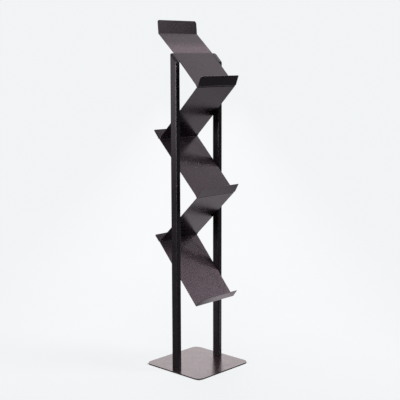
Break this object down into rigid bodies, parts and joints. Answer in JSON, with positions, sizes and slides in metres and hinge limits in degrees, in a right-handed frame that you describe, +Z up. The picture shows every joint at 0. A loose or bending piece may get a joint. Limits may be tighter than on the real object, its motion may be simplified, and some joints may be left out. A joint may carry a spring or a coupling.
{
  "type": "brochure stand",
  "caption": "Free-standing zig-zag brochure stand: bent sheet-metal trays with brochure lips and a header, held between tube posts on a square base plate.",
  "frame": {"origin": "on the floor under the middle of the square base plate", "axes": "+Z up; -Y is the front, where the top tray slopes down and the header stands at the back; +X is to the right of a person who looks at the front"},
  "size_m": [0.3, 0.3, 1.3779],
  "materials": {
    "tray_paint": "satin charcoal paint with a soft gloss",
    "post_paint": "satin charcoal paint with a soft gloss",
    "plate_paint": "satin charcoal paint with a soft gloss",
    "pad_rubber": "matt black rubber",
    "screw_steel": "black oxide",
    "zinc_steel": "zinc plated"
  },
  "bodies": {
    "root": {"base_plate": "plate_paint", "floor_pads": "pad_rubber", "left_post": "post_paint", "right_post": "post_paint", "left_top_cap": "post_paint", "right_top_cap": "post_paint", "left_foot_block": "zinc_steel", "right_foot_block": "zinc_steel", "base_screws": "screw_steel", "top_tray": "tray_paint", "second_tray": "tray_paint", "third_tray": "tray_paint", "fourth_tray": "tray_paint", "bottom_tray": "tray_paint", "left_tray_screws": "screw_steel", "right_tray_screws": "screw_steel", "left_rivet_nuts": "zinc_steel", "right_rivet_nuts": "zinc_steel"}
  },
  "joints": []
}
